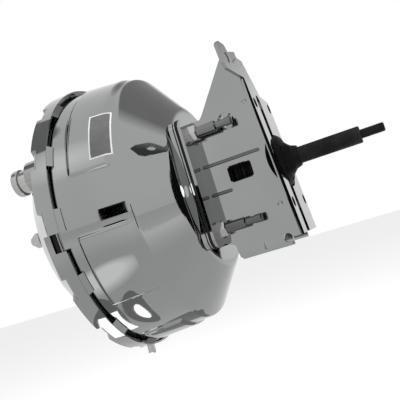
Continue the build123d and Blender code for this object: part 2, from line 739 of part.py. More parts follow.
with BuildPart() as mounting_bracket:
    with BuildSketch(across(BRACKET_X)):
        RectangleRounded(2 * PLATE_HALF_WIDTH, 2 * PLATE_HALF_HEIGHT, PLATE_CORNER)
        Circle(NECK_HOLE_RADIUS, mode=Mode.SUBTRACT)
    extrude(amount=BRACKET_SHEET)
    add(side_plate(near_points, -SIDE_Y, -SIDE_Y + BRACKET_SHEET))
    add(side_plate(far_points, SIDE_Y, SIDE_Y - BRACKET_SHEET))
    with BuildSketch(FIREWALL):
        with BuildLine():
            Polyline(
                (-SIDE_Y, FLANGE_BOTTOM_Z),
                (SIDE_Y, FLANGE_BOTTOM_Z),
                (SIDE_Y, FAR_TOP_Z - FAR_CORNER),
                (SIDE_Y - FAR_CORNER, FAR_TOP_Z),
                (HUMP_FOOT_Y, FAR_TOP_Z + FOOT_STEP),
                (HUMP_TOP_Y, HUMP_TOP_Z),
                (-SIDE_Y, HUMP_TOP_Z),
                close=True,
            )
        make_face()
    extrude(amount=-BRACKET_SHEET)
    bends = mounting_bracket.edges().filter_by(
        lambda edge: edge.length > FAR_TOP_Z and edge.center().X > FOOT_END_X
    )
    for y in (-SIDE_Y, SIDE_Y):
        outer = bends.filter_by_position(Axis.Y, y - NEAR, y + NEAR).sort_by(Axis.X)[-1:]
        fillet(outer, BEND_RADIUS)
    with BuildSketch(FIREWALL):
        with BuildLine():
            Polyline(
                (-SIDE_Y + BEND_RADIUS, EAR_BOTTOM_Z),
                (-SIDE_Y + BEND_RADIUS, BRACKET_TOP_Z - EAR_CORNER),
                (EAR_INNER_Y, BRACKET_TOP_Z - EAR_NOTCH),
                (EAR_INNER_Y - EAR_CORNER, BRACKET_TOP_Z - EAR_CORNER),
                (EAR_INNER_Y - 2 * EAR_CORNER, BRACKET_TOP_Z),
                (EAR_OUTER_Y + 2 * EAR_CORNER, BRACKET_TOP_Z),
                (EAR_OUTER_Y, BRACKET_TOP_Z - EAR_CORNER),
                (EAR_OUTER_Y, EAR_BOTTOM_Z + EAR_CORNER),
                (EAR_OUTER_Y + EAR_CORNER, EAR_BOTTOM_Z),
                close=True,
            )
        make_face()
    extrude(amount=-BRACKET_SHEET)
    with BuildSketch(Plane.XZ.offset(SIDE_Y + CUT_MARGIN)):
        with Locations((WINDOW[0], 0)):
            RectangleRounded(WINDOW[1], WINDOW[2], WINDOW_CORNER)
    extrude(amount=-2 * (SIDE_Y + CUT_MARGIN), mode=Mode.SUBTRACT)
    near_face = mounting_bracket.faces().filter_by_position(Axis.Y, -SIDE_Y - NEAR, -SIDE_Y + NEAR)
    window_loop = near_face.sort_by(SortBy.AREA)[-1].inner_wires().sort_by(SortBy.AREA)[-1]
    chamfer(window_loop.edges(), WINDOW_CHAMFER)
    with BuildSketch(Plane.XZ.offset(SIDE_Y + CUT_MARGIN)):
        with BuildLine():
            Polyline(bend_slot_top, bend_slot_foot)
            ThreePointArc(bend_slot_foot, (BEND_SLOT[0], 0), bend_slot_top)
        make_face()
    extrude(amount=-BRACKET_SHEET - 2 * CUT_MARGIN, mode=Mode.SUBTRACT)
    with BuildSketch(FIREWALL):
        with Locations((SLOT_Y, (SLOT_TOP_Z + BRACKET_BOTTOM_Z) / 2)):
            RectangleRounded(SLOT_WIDTH, SLOT_TOP_Z - BRACKET_BOTTOM_Z, (SLOT_WIDTH - SLOT_FLAT) / 2)
        Circle(BOOT_HOLE_RADIUS)
        with Locations(*firewall_places()):
            Circle(FIREWALL_BOLT_RADIUS)
        with Locations(EAR_HOLE[:2]):
            Circle(EAR_HOLE[2])
    extrude(amount=-BRACKET_SHEET, mode=Mode.SUBTRACT)
    with BuildSketch(across(BRACKET_X)):
        with Locations(*stud_places()):
            Circle(STUD_RADIUS + HOLE_CLEARANCE)
    extrude(amount=BRACKET_SHEET, mode=Mode.SUBTRACT)
    with BuildSketch(Plane.XY.offset(BRACKET_BOTTOM_Z)):
        with Locations(((LIP_START_X + LIP_END_X) / 2, -SIDE_Y - LIP_WIDTH / 2)):
            Rectangle(LIP_END_X - LIP_START_X, LIP_WIDTH)
    extrude(amount=BRACKET_SHEET)
    with BuildSketch(Plane.YZ.offset(GUSSET_X)):
        with BuildLine():
            Polyline(
                (-SIDE_Y, BRACKET_BOTTOM_Z),
                (-SIDE_Y - LIP_WIDTH, BRACKET_BOTTOM_Z),
                (-SIDE_Y, BRACKET_BOTTOM_Z + GUSSET_HEIGHT),
                close=True,
            )
        make_face()
    extrude(amount=GUSSET_THICKNESS)
    with BuildSketch(Plane.XZ.offset(SIDE_Y + LIP_WIDTH + CUT_MARGIN)):
        with Locations(CORNER_HOLE[:2]):
            Circle(CORNER_HOLE[2])
    extrude(amount=-LIP_WIDTH - BRACKET_SHEET - 2 * CUT_MARGIN, mode=Mode.SUBTRACT)
    for length, z in ((UPPER_RIB_LENGTH, RIB_Z), (LOWER_RIB_LENGTH, -RIB_Z)):
        with BuildSketch(Plane.XZ.offset(SIDE_Y)):
            with Locations((BRACKET_REAR_X + length / 2, z)):
                SlotOverall(length, RIB_WIDTH)
        extrude(amount=RIB_HEIGHT)
    for dimple_x, dimple_z, dimple_radius, dimple_depth in DIMPLES:
        ball_radius = (dimple_radius**2 + dimple_depth**2) / (2 * dimple_depth)
        with Locations((dimple_x, -SIDE_Y - ball_radius + dimple_depth, dimple_z)):
            Sphere(ball_radius, mode=Mode.SUBTRACT)
    dome_x, dome_z, dome_radius, dome_height = DOME
    sphere_radius = (dome_radius**2 + dome_height**2) / (2 * dome_height)
    with Locations((dome_x, -SIDE_Y + sphere_radius - dome_height, dome_z)):
        dome_ball = Sphere(sphere_radius, mode=Mode.PRIVATE)
    dome_cap = split(dome_ball, bisect_by=Plane.XZ.offset(SIDE_Y), keep=Keep.TOP, mode=Mode.PRIVATE)
    add(dome_cap)
save(mounting_bracket, "mounting_bracket")

# Nuts welded inside the firewall flange
with BuildPart() as firewall_nuts:
    inner_face = FIREWALL.offset(-BRACKET_SHEET)
    with BuildSketch(inner_face):
        with Locations(*firewall_places()):
            RegularPolygon(NUT_FLATS / 2, 6, major_radius=False)
            Circle(THREAD_RADIUS, mode=Mode.SUBTRACT)
    extrude(amount=-NUT_HEIGHT + NUT_FLANGE_HEIGHT)
save(firewall_nuts, "firewall_nuts")

# Dust boot: a tube on the shell's neck, folds, and a flared cone round the rod
boot_folds = []
for number in range(BOOT_FOLDS):
    boot_folds.append((BOOT_FOLD_START_X + number * BOOT_FOLD_PITCH, BOOT_RADIUS - BOOT_WALL))
    boot_folds.append((BOOT_FOLD_START_X + (number + 0.5) * BOOT_FOLD_PITCH, BOOT_FOLD_RADIUS))
boot_path = [
    (BOOT_START_X, BOOT_RADIUS),
    (BOOT_FOLD_START_X - BOOT_LEAD, BOOT_RADIUS),
    *boot_folds,
    (BOOT_FLANGE_X, BOOT_FLANGE_RADIUS),
    (BOOT_CONE_X, BOOT_FLANGE_RADIUS),
    *[(BOOT_CONE_X + step, BOOT_FLANGE_RADIUS - drop) for step, drop in BOOT_CONE_STEPS],
    (BOOT_LIP_X, SLEEVE_RADIUS + BODY_GAP + BOOT_WALL),
]
boot_bends = {index: BOOT_FOLD_ROUNDING for index in range(2, 1 + len(boot_folds))}

with BuildPart() as dust_boot:
    revolve(sheet_profile(boot_path, -BOOT_WALL, boot_bends), axis=Axis.X)
    revolve(
        ring(
            BOOT_LIP_X - BOOT_LIP_LENGTH,
            BOOT_LIP_X,
            SLEEVE_RADIUS + BODY_GAP,
            SLEEVE_RADIUS + BODY_GAP + BOOT_WALL,
        ),
        axis=Axis.X,
    )
    revolve(
        ring(BOOT_START_X, BOOT_FOLD_START_X - BOOT_LEAD, NECK_RADIUS, BOOT_RADIUS - BOOT_WALL / 2),
        axis=Axis.X,
    )
    with BuildSketch(across(BOOT_FLANGE_X + BOOT_VENT_START)):
        with PolarLocations(BOOT_FLANGE_RADIUS - BOOT_VENT_INSET, BOOT_VENTS, BOOT_VENT_ANGLE):
            SlotOverall(BOOT_VENT_LENGTH, BOOT_VENT_WIDTH, rotation=90)
    extrude(amount=BOOT_VENT_DEPTH, mode=Mode.SUBTRACT)
save(dust_boot, "dust_boot")

# Small square peg under the shell joint
with BuildPart() as shell_peg:
    with BuildSketch(Plane.XY.offset(RIM_RADIUS)):
        with Locations((SKIRT_END_X - PEG_LENGTH, 0)):
            RectangleRounded(PEG_SIZE, PEG_SIZE, PEG_ROUNDING)
    extrude(amount=PEG_LENGTH)
    chamfer(shell_peg.faces().sort_by(Axis.Z)[-1].edges(), EDGE)
shell_peg.part = shell_peg.part.rotate(Axis.X, PEG_ANGLE - 90)
save(shell_peg, "shell_peg")

# Seals
with BuildPart() as rear_seal:
    revolve(
        ring(
            NECK_END_X - REAR_SEAL_LENGTH,
            NECK_END_X,
            TUBE_RADIUS + RUNNING_FIT,
            NECK_RADIUS - SHEET,
        ),
        axis=Axis.X,
    )
save(rear_seal, "rear_seal")

with BuildPart() as front_seal:
    revolve(
        ring(CUP_DEPTH, CUP_DEPTH + SHEET, PUSHROD_RADIUS + RUNNING_FIT, 2 * PUSHROD_RADIUS), axis=Axis.X
    )
    revolve(
        ring(
            CUP_DEPTH + SHEET,
            CUP_DEPTH + SHEET + SEAL_LENGTH,
            PUSHROD_RADIUS + RUNNING_FIT,
            SEAL_FLANGE_RADIUS,
        ),
        axis=Axis.X,
    )
save(front_seal, "front_seal")

# Diaphragm: a bead clamped in the joint, a web along the wall, and the flat over the plate
DIAPHRAGM_X = PLATE_X + PLATE_THICKNESS + BODY_GAP + DIAPHRAGM_THICKNESS
FOLD_X = DIAPHRAGM_X + FOLD_STEP
WALL_INSIDE = wall_radius(DIAPHRAGM_X) - SHEET
BEAD_INNER = wall_radius(JOINT_X) - SHEET - BEAD_DEPTH
BEAD_X = JOINT_X - BEAD_LENGTH
web_path = [
    (BEAD_X + WEB_TURN[0], BEAD_INNER + WEB_TURN[1]),
    (BEAD_X + WEB_TURN[0], BEAD_INNER),
    (DIAPHRAGM_X - WEB_END, WALL_INSIDE - WEB_WALL_GAP),
    (FOLD_X, WALL_INSIDE - FOLD_WALL_GAP),
    (FOLD_X, PLATE_RADIUS + FOLD_PLATE_GAP),
    (DIAPHRAGM_X, PLATE_RADIUS - FLAT_OVERLAP),
    (DIAPHRAGM_X, TUBE_RADIUS + FLAT_TUBE_GAP),
]
with BuildPart() as diaphragm:
    revolve(sheet_profile(web_path, -DIAPHRAGM_THICKNESS, WEB_BENDS), axis=Axis.X)
    revolve(ring(BEAD_X, JOINT_X, BEAD_INNER, FLANGE_RADIUS), axis=Axis.X)
save(diaphragm, "diaphragm")

plate_path = [
    (PLATE_X + PLATE_THICKNESS, TUBE_RADIUS + PLATE_TUBE_GAP),
    (PLATE_X + PLATE_THICKNESS, PLATE_RADIUS - PLATE_DISH[1]),
    (PLATE_X - PLATE_DISH[0], PLATE_RADIUS),
    (PLATE_X - PLATE_DISH[0] - PLATE_SKIRT_LENGTH, PLATE_RADIUS),
]
with BuildPart() as diaphragm_plate:
    revolve(sheet_profile(plate_path, PLATE_THICKNESS, PLATE_BENDS), axis=Axis.X)
save(diaphragm_plate, "diaphragm_plate")

# Power piston: hub, tube, pocket for the reaction disc, and the chamber for the valve
with BuildPart() as power_piston:
    revolve(
        outline(
            (HUB_FRONT_X, POCKET_RADIUS),
            (HUB_FRONT_X, HUB_RADIUS - HUB_EDGE),
            (HUB_FRONT_X + HUB_EDGE, HUB_RADIUS),
            (PLATE_X, HUB_RADIUS),
            (PLATE_X, TUBE_RADIUS),
            (TUBE_END_X, TUBE_RADIUS),
            (TUBE_END_X, TUBE_BORE_RADIUS),
            (CHAMBER_X, TUBE_BORE_RADIUS),
            (CHAMBER_X, SEAT_RING_OUTER),
            (CHAMBER_X + SEAT_RING_LENGTH, SEAT_RING_OUTER),
            (CHAMBER_X + SEAT_RING_LENGTH, SEAT_RING_INNER),
            (CHAMBER_X, SEAT_RING_INNER),
            (CHAMBER_X, PLUNGER_RADIUS + RUNNING_FIT),
            (DISC_END_X, PLUNGER_RADIUS + RUNNING_FIT),
            (DISC_END_X, POCKET_RADIUS),
        ),
        axis=Axis.X,
    )
    with BuildSketch(across(KEY_X - KEY_FIT)):
        with Locations((KEY_END_WALL / 2, 0)):
            Rectangle(2 * TUBE_RADIUS - KEY_END_WALL, KEY_SLOT_HEIGHT)
    extrude(amount=KEY_THICKNESS + 2 * KEY_FIT, mode=Mode.SUBTRACT)
save(power_piston, "power_piston")

with BuildPart() as retaining_key:
    with BuildSketch(across(KEY_X)):
        with Locations((KEY_END_WALL / 2, 0)):
            Rectangle(
                2 * (TUBE_RADIUS - KEY_END_GAP) - KEY_END_WALL,
                KEY_SLOT_HEIGHT - 2 * BODY_GAP,
            )
        Circle(KEY_MOUTH_RADIUS, mode=Mode.SUBTRACT)
        with Locations((-TUBE_RADIUS / 2, 0)):
            Rectangle(TUBE_RADIUS, 2 * KEY_MOUTH_RADIUS, mode=Mode.SUBTRACT)
    extrude(amount=KEY_THICKNESS)
save(retaining_key, "retaining_key")

with BuildPart() as reaction_disc:
    revolve(ring(DISC_X, DISC_END_X, 0, POCKET_RADIUS - RUNNING_FIT), axis=Axis.X)
save(reaction_disc, "reaction_disc")

with BuildPart() as output_pushrod:
    revolve(
        outline(
            (PUSHROD_TIP_X, 0),
            (PUSHROD_TIP_X, PUSHROD_RADIUS - EDGE),
            (PUSHROD_TIP_X + EDGE, PUSHROD_RADIUS),
            (PUSHROD_HEAD_X, PUSHROD_RADIUS),
            (PUSHROD_HEAD_X, PUSHROD_HEAD_RADIUS),
            (DISC_X, PUSHROD_HEAD_RADIUS),
            (DISC_X, 0),
        ),
        axis=Axis.X,
    )
save(output_pushrod, "output_pushrod")

with BuildPart() as output_adjuster:
    with BuildSketch(across(PUSHROD_TIP_X)):
        RegularPolygon(ADJUSTER_FLATS / 2, 6, major_radius=False)
    extrude(amount=-ADJUSTER_LENGTH)
    with BuildSketch(across(PUSHROD_TIP_X - ADJUSTER_LENGTH)):
        Circle(ADJUSTER_NOSE_RADIUS)
    extrude(amount=-ADJUSTER_LENGTH)
    fillet(output_adjuster.faces().sort_by(Axis.X)[0].edges(), ADJUSTER_NOSE_RADIUS / 2)
save(output_adjuster, "output_adjuster")

# Valve plunger with its air seat and the socket for the rod's ball
with BuildPart() as valve_plunger:
    revolve(
        outline(
            (PLUNGER_NOSE_X, 0),
            (PLUNGER_NOSE_X, PLUNGER_RADIUS - EDGE),
            (PLUNGER_NOSE_X + EDGE, PLUNGER_RADIUS),
            (PLUNGER_NECK[0], PLUNGER_RADIUS),
            (PLUNGER_NECK[0], PLUNGER_NECK_RADIUS),
            (PLUNGER_NECK[1], PLUNGER_NECK_RADIUS),
            (PLUNGER_NECK[1], PLUNGER_RADIUS),
            (PLUNGER_REAR_X - PLUNGER_FLANGE_LENGTH, PLUNGER_RADIUS),
            (PLUNGER_REAR_X - PLUNGER_FLANGE_LENGTH, PLUNGER_FLANGE_RADIUS),
            (PLUNGER_REAR_X, PLUNGER_FLANGE_RADIUS),
            (PLUNGER_REAR_X, BALL_RADIUS + SOCKET_FIT),
            (PLUNGER_REAR_X - SOCKET_DEPTH, BALL_RADIUS + SOCKET_FIT),
            (PLUNGER_REAR_X - SOCKET_DEPTH, 0),
        ),
        axis=Axis.X,
    )
save(valve_plunger, "valve_plunger")

# Poppet valve, its spring and retainer
with BuildPart() as poppet_valve:
    revolve(ring(POPPET_X, POPPET_X + POPPET_LIP, PLUNGER_RADIUS + POPPET_GAP, SEAT_RING_OUTER), axis=Axis.X)
    revolve(ring(POPPET_X + POPPET_LIP, POPPET_END_X, SEAT_RING_INNER, SEAT_RING_OUTER), axis=Axis.X)
    revolve(
        ring(POPPET_END_X - POPPET_BEAD, POPPET_END_X, SEAT_RING_INNER, TUBE_BORE_RADIUS - RUNNING_FIT),
        axis=Axis.X,
    )
save(poppet_valve, "poppet_valve")

with BuildPart() as poppet_retainer:
    revolve(
        ring(
            POPPET_END_X,
            POPPET_END_X + POPPET_RETAINER_LENGTH,
            PLUNGER_RADIUS + POPPET_RETAINER_GAP,
            TUBE_BORE_RADIUS - RUNNING_FIT,
        ),
        axis=Axis.X,
    )
save(poppet_retainer, "poppet_retainer")


def coil_spring(start_x, end_x, mean_radius, wire_radius, turns):
    """Coil spring round the axis whose wire lies between two places along X."""
    height = end_x - start_x - 2 * wire_radius
    coil = Helix(
        pitch=height / turns, height=height, radius=mean_radius,
        center=(start_x + wire_radius, 0, 0), direction=(1, 0, 0),
    )
    with BuildPart() as spring:
        with BuildSketch(Plane(origin=coil @ 0, z_dir=coil % 0)):
            Circle(wire_radius)
        sweep(path=coil, is_frenet=True)
    return spring


poppet_spring = coil_spring(POPPET_X + POPPET_LIP, POPPET_END_X, *POPPET_SPRING)
save(poppet_spring, "poppet_spring")

return_spring = coil_spring(
    MASTER_HEAD_X,
    HUB_FRONT_X,
    SPRING_MEAN_RADIUS,
    SPRING_WIRE_RADIUS,
    SPRING_TURNS,
)
save(return_spring, "return_spring")

# Input rod with its ball, the sleeve with the threaded end, and the rod's spring
with BuildPart() as input_rod:
    Sphere(BALL_RADIUS)
    input_rod.part = input_rod.part.translate((BALL_X, 0, 0))
    revolve(ring(BALL_X, ROD_NECK_END_X, 0, ROD_NECK_RADIUS), axis=Axis.X)
    revolve(ring(ROD_NECK_END_X, SLEEVE_START_X, 0, ROD_RADIUS), axis=Axis.X)
save(input_rod, "input_rod")

with BuildPart() as rod_sleeve:
    revolve(
        outline(
            (SLEEVE_START_X, 0),
            (SLEEVE_START_X, SLEEVE_RADIUS - EDGE),
            (SLEEVE_START_X + EDGE, SLEEVE_RADIUS),
            (SLEEVE_END_X - EDGE, SLEEVE_RADIUS),
            (SLEEVE_END_X, SLEEVE_RADIUS - EDGE),
            (SLEEVE_END_X, THREAD_RADIUS),
            (THREAD_END_X - EDGE, THREAD_RADIUS),
            (THREAD_END_X, THREAD_RADIUS - EDGE),
            (THREAD_END_X, 0),
        ),
        axis=Axis.X,
    )
save(rod_sleeve, "rod_sleeve")

with BuildPart() as rod_spring_seat:
    revolve(
        ring(SPRING_SEAT_X, SPRING_SEAT_X + SPRING_SEAT_THICKNESS, ROD_RADIUS, SPRING_SEAT_RADIUS),
        axis=Axis.X,
    )
save(rod_spring_seat, "rod_spring_seat")

rod_return_spring = coil_spring(POPPET_END_X + POPPET_RETAINER_LENGTH, SPRING_SEAT_X, *ROD_SPRING)
save(rod_return_spring, "rod_return_spring")

# Air filter in the rear of the tube, with its retainer
with BuildPart() as air_filter:
    revolve(
        ring(FILTER_X, TUBE_END_X - RETAINER_LENGTH, FILTER_INNER, TUBE_BORE_RADIUS - RUNNING_FIT),
        axis=Axis.X,
    )
save(air_filter, "air_filter")

with BuildPart() as filter_retainer:
    revolve(
        ring(TUBE_END_X - RETAINER_LENGTH, TUBE_END_X, FILTER_INNER, TUBE_BORE_RADIUS - RUNNING_FIT),
        axis=Axis.X,
    )
save(filter_retainer, "filter_retainer")
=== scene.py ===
"""Chromed vacuum brake booster: finishes, threads, soft pieces and small details over the CAD parts.

Sizes of the object are in millimetres and become metres where a piece is made. The studio is in
metres. X runs along the booster axis towards the pedal, Z is up, and the photograph looks from -Y.
"""
import json
import math
from collections import namedtuple

import bmesh
import bpy
from mathutils import Matrix, Vector


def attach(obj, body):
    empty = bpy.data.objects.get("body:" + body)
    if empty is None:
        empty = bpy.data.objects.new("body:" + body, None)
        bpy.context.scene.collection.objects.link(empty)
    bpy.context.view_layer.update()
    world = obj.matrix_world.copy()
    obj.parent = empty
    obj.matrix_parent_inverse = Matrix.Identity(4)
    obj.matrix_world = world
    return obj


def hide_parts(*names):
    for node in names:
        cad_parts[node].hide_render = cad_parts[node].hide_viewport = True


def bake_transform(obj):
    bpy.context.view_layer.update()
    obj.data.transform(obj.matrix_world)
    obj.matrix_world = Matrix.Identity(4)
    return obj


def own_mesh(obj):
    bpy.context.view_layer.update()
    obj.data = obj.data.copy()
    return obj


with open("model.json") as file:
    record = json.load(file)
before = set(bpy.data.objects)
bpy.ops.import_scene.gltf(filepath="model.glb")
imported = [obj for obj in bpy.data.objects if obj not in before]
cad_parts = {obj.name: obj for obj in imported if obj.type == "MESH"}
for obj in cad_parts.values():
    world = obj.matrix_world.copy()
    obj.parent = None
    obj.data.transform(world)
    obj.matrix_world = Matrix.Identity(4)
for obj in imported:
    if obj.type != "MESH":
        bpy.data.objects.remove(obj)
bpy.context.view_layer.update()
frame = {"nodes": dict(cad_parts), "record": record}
nodes = frame["nodes"]

MM = 0.001

# Rear shell: thickness, and the section's corners as x, radius and bend radius
SHEET = 1.8
RIM_CORNER = (67.8, 138.2, 1.2)
WALL_CORNER = (140.0, 131.0, 5.0)
SEAT_CORNER = (173.0, 86.0, 14.0)
SHELL_SECTION = (
    (67.8, 141.3, 0.0),
    RIM_CORNER,
    WALL_CORNER,
    SEAT_CORNER,
    (173.0, 29.0, 2.0),
    (200.0, 29.0, 0.0),
)
WALL_START = RIM_CORNER[0] + RIM_CORNER[2]
WALL_END = WALL_CORNER[0]
WALL_RADIUS = WALL_CORNER[1]
WALL_TAPER = 0.1
LEAST_ARC_STEPS = 10

# Pads pressed out of the wall: start and end along X, start and end angle, and the
# lengths of the slopes at the start, at the end and at the sides
PAD_HEIGHT = 2.4
Pad = namedtuple("Pad", "start end low high front rear side")
PADS = (
    Pad(88.0, 138.0, 101.0, 165.0, 5.5, 10.0, 3.4),
    Pad(83.0, 138.0, 187.0, 219.0, 3.2, 10.0, 3.2),
    Pad(79.0, 124.0, 244.0, 296.0, 3.2, 3.2, 3.4),
    Pad(88.0, 138.0, 15.0, 79.0, 5.5, 10.0, 3.4),
    Pad(83.0, 138.0, -39.0, -7.0, 3.2, 10.0, 3.2),
)

# Rod sleeve and the threaded end, whose last edge is bevelled along X and in radius
SLEEVE = (240.0, 337.0)
SLEEVE_RADIUS = 8.5
SLEEVE_BEVEL = 0.8
SLEEVE_FIRST_ROW = 1.5
ROD_END = 360.3
THREAD_RADIUS = 4.76
THREAD_PITCH = 1.058
THREAD_DEPTH = 0.55
THREAD_RUN_OUT = 0.6
THREAD_BEVEL_LENGTH = 0.9
THREAD_BEVEL_DEPTH = 1.2
THREAD_ROWS_PER_TURN = 8
CENTRE_RADIUS = 0.01

# Blank label on the upper pad: start and end along X, start and end angle
LABEL = (113.5, 135.5, 139.5, 160.5)
LABEL_BORDER = 1.4
LABEL_SHEET_RISE = 0.12
LABEL_FIELD_RISE = 0.2

# Ribs pressed in the near side plate: start and end along X, and height along Z
RIBS = ((186.0, 246.0, 14.5), (186.0, 209.0, -14.5))
RIB_BASE = -42.5
RIB_HALF_WIDTH = 1.7
RIB_HEIGHT = 1.5

# Loose flange nuts on the master cylinder studs: places along X from the outer end to the seat
STUD_SPACING = 85.7
NUT_HALF_FLATS = 7.15
NUT_BORE = 4.8
NUT_FLANGE_RADIUS = 8.8
NUT_FLANGE_EDGE = 0.4
NUT_PLACES = (-18.5, -17.8, -12.4, -12.0, -9.5)
NUT_SIDE_ANGLE = 60

# Soft pieces that reach between two bodies: name, node, slot, both bodies, and where along X the change
# from the first body to the second starts and ends
BLENDED = (
    ("return_spring_soft", "return_spring", "plain_steel", "housing", "piston", 9.0, 86.0),
    ("rod_spring_front", "rod_return_spring", "plain_steel", "piston", "plunger", 157.0, 171.0),
    ("rod_spring_rear", "rod_return_spring", "plain_steel", "plunger", "rod", 173.0, 186.0),
    ("diaphragm_soft", "diaphragm", "black_rubber", "housing", "piston", 66.0, 104.0),
)
ROD_SPRING_RANGES = {"rod_spring_front": (150.0, 172.0), "rod_spring_rear": (172.0, 200.0)}

# Dust boot: where it is cut apart along X into collar, bellows and tail
BOOT_RANGES = {
    "boot_collar": (180.0, 201.0),
    "boot_bellows": (201.0, 250.0),
    "boot_tail": (250.0, 280.0),
}

# Spacing of the made meshes: rows in millimetres and columns in degrees
SHELL_ROWS = 0.8
SHELL_COLUMNS = 1.0
PAD_SIDE_COLUMNS = 0.12
SLEEVE_ROWS = 6.0
SLEEVE_COLUMNS = 7.5
LABEL_ROWS = 1.0
LABEL_COLUMNS = 0.5
RIB_ROWS = 0.3
RIB_COLUMNS = 15
NUT_COLUMNS = 5

# Camera: place, directions and focal length found from the photograph
CAMERA_PLACE = Vector((368.55, -635.93, -55.51)) * MM
CAMERA_RIGHT = Vector((0.90092, 0.31680, -0.29659))
CAMERA_UP = Vector((0.30214, 0.03267, 0.95269))
FOCAL_PIXELS = 633.0
IMAGE_PIXELS = 400.0
SENSOR_WIDTH = 36.0
CLIP_START = 0.05

# Floor and world, in metres: the light that they give, and the white that is seen
FLOOR_PLACE = (0.1, 0, -0.32)
FLOOR_SIZE = 12.0
FLOOR_TONE = (0.93, 0.93, 0.93, 1)
FLOOR_ROUGHNESS = 0.9
FLOOR_GLOW = 0.3
WHITE = (1, 1, 1, 1)
WORLD_LIGHT = 0.55
WORLD_SEEN = 1.0

# Lamps: name, place, target, width, height and power in watts
LAMPS = (
    ("key", (0.2, -0.6, 1.3), (0.1, 0, 0), 1.2, 0.8, 14),
    ("fill", (1.4, -0.4, 0.4), (0.1, 0, 0), 0.9, 0.9, 5),
)

# Cards for the chrome to reflect: name, place, target, width, height, brightness, the share of
# the radius over which the edge fades, and the number of corners
CARDS = (
    ("dark_front", (0.011, -0.566, 0.004), (0.121, -0.132, -0.005), 0.042, 0.085, 0.0, 0.0, 4),
    ("dark_right", (0.72, -0.83, -0.42), (0.14, -0.12, -0.03), 0.3, 1.0, 0.0, 0.0, 4),
    # Painted shade: a dark disc behind the seat, among the bracket's parts, that darkens the seat's
    # reflection.
    ("seat_shade_card", (0.30, -0.02, 0.005), (0.17, -0.02, 0.005), 0.162, 0.21, 0.01, 0.0, 48),
    # Painted highlight: a small glowing spot just off the seat's surface that shows on it as a white
    # oval.
    ("seat_highlight_card", (0.1764, -0.0781, -0.0035), (0.173, -0.083, -0.004), 0.006, 0.012, 3.0, 0.0, 24),
    ("grey_top", (0.5, 0.8, 0.9), (0.15, -0.05, 0.1), 1.9, 1.5, 0.38, 0.35, 48),
    ("grey_left", (-1.15, -0.15, 0.45), (0.09, -0.12, 0.08), 1.0, 0.9, 0.3, 0.3, 48),
    ("grey_ramp", (-0.33, -0.12, 0.75), (0.093, -0.115, 0.075), 0.5, 0.32, 0.3, 0.1, 48),
    ("white_left", (-0.3, -0.66, 0.8), (0.08, -0.115, 0.075), 0.6, 0.6, 1.45, 0.7, 48),
    ("grey_low", (0.1, 0.0, -0.318), (0.1, 0.0, 0.0), 3.2, 3.2, 0.85, 0.6, 48),
    ("dark_low_left", (-0.032, -0.09, -0.314), (-0.032, -0.09, 0.0), 0.076, 0.27, 0.35, 0.0, 48),
    ("dark_low_right", (0.025, -0.085, -0.314), (0.025, -0.085, 0.0), 0.034, 0.25, 0.35, 0.0, 48),
    ("dark_low_back", (0.12, 0.17, -0.314), (0.12, 0.17, 0.0), 0.3, 0.22, 0.35, 0.0, 48),
    ("white_low_front", (-0.02, -0.36, -0.312), (-0.02, -0.36, 0.0), 0.12, 0.28, 1.7, 0.5, 48),
    ("white_low_left", (-0.029, -0.05, -0.31), (-0.029, -0.05, 0.0), 0.062, 0.141, 3.6, 0.0, 4),
    ("white_low_right", (0.029, -0.064, -0.31), (0.029, -0.064, 0.0), 0.014, 0.104, 3.4, 0.0, 32),
)


# Materials


def new_material(name):
    """Material with a Principled shader, returned with its node tree and that shader."""
    material = bpy.data.materials.new(name)
    material.use_nodes = True
    tree = material.node_tree
    return material, tree, tree.nodes["Principled BSDF"]


def noise(tree, scale, detail=2.0, roughness=0.5, stretch=(1.0, 1.0, 1.0)):
    """Noise over the object's own coordinates."""
    place = tree.nodes.new("ShaderNodeTexCoord")
    mapping = tree.nodes.new("ShaderNodeMapping")
    mapping.inputs["Scale"].default_value = stretch
    texture = tree.nodes.new("ShaderNodeTexNoise")
    texture.inputs["Scale"].default_value = scale
    texture.inputs["Detail"].default_value = detail
    texture.inputs["Roughness"].default_value = roughness
    tree.links.new(place.outputs["Object"], mapping.inputs["Vector"])
    tree.links.new(mapping.outputs["Vector"], texture.inputs["Vector"])
    return texture.outputs["Fac"]


def ramp(tree, value, low, high, start=0.35, end=0.65):
    """Spreads a value between start and end, where most noise lies, over a range."""
    mapped = tree.nodes.new("ShaderNodeMapRange")
    mapped.inputs["From Min"].default_value = start
    mapped.inputs["From Max"].default_value = end
    mapped.inputs["To Min"].default_value = low
    mapped.inputs["To Max"].default_value = high
    tree.links.new(value, mapped.inputs["Value"])
    return mapped.outputs["Result"]


def tint(tree, value, dark, light):
    """Colour between two tones, by a value from 0 to 1."""
    mix = tree.nodes.new("ShaderNodeMix")
    mix.data_type = "RGBA"
    tree.links.new(value, mix.inputs["Factor"])
    mix.inputs["A"].default_value = (*dark, 1)
    mix.inputs["B"].default_value = (*light, 1)
    return mix.outputs["Result"]


def bump(tree, value, depth):
    """Bump of a given depth in metres from a value from 0 to 1."""
    node = tree.nodes.new("ShaderNodeBump")
    node.inputs["Distance"].default_value = depth
    node.inputs["Strength"].default_value = 1.0
    tree.links.new(value, node.inputs["Height"])
    return node.outputs["Normal"]


def chrome(name, dark, light, haze, wave=0.0):
    """Polished plate: even tone, faint haze and, on big sheets, a very slight waviness."""
    material, tree, shader = new_material(name)
    shader.inputs["Metallic"].default_value = 1.0
    tone = ramp(tree, noise(tree, scale=9.0), low=0.0, high=1.0)
    tree.links.new(tint(tree, tone, dark, light), shader.inputs["Base Color"])
    blur = ramp(tree, noise(tree, scale=60.0, detail=4.0), *haze)
    tree.links.new(blur, shader.inputs["Roughness"])
    if wave:
        waves = bump(tree, noise(tree, scale=14.0, detail=1.0), wave)
        tree.links.new(waves, shader.inputs["Normal"])
    return material


